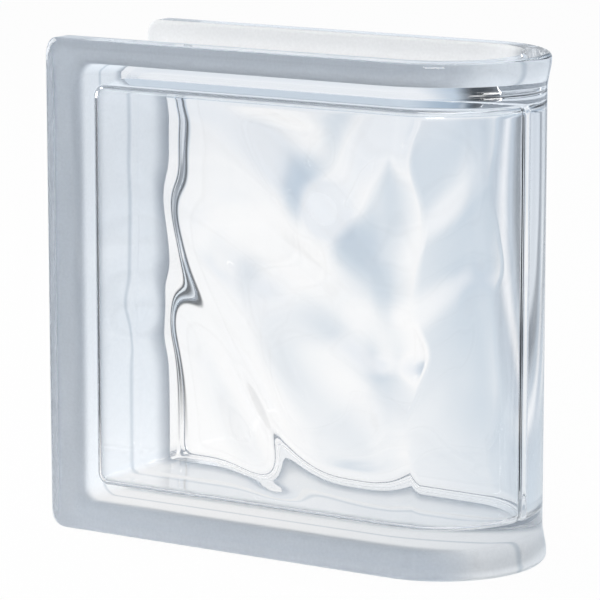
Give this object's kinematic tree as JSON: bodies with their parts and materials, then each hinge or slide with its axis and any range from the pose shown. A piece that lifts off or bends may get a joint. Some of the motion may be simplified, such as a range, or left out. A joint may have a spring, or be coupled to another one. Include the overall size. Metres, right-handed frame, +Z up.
{
  "type": "glass block",
  "caption": "Hollow pressed-glass building block with wavy inner faces, lips round a mortar channel on three sides and a rounded finished end.",
  "frame": {"origin": "under the middle of the block, on the floor plane that its lower lips stand on", "axes": "+X towards the rounded finished end, +Y from the front face to the back face, +Z up"},
  "size_m": [0.19, 0.08, 0.19],
  "materials": {
    "glass": "clear pale blue-grey pressed glass, polished outside, soft waves inside"
  },
  "bodies": {
    "root": {"glass_block": "glass"}
  },
  "joints": []
}
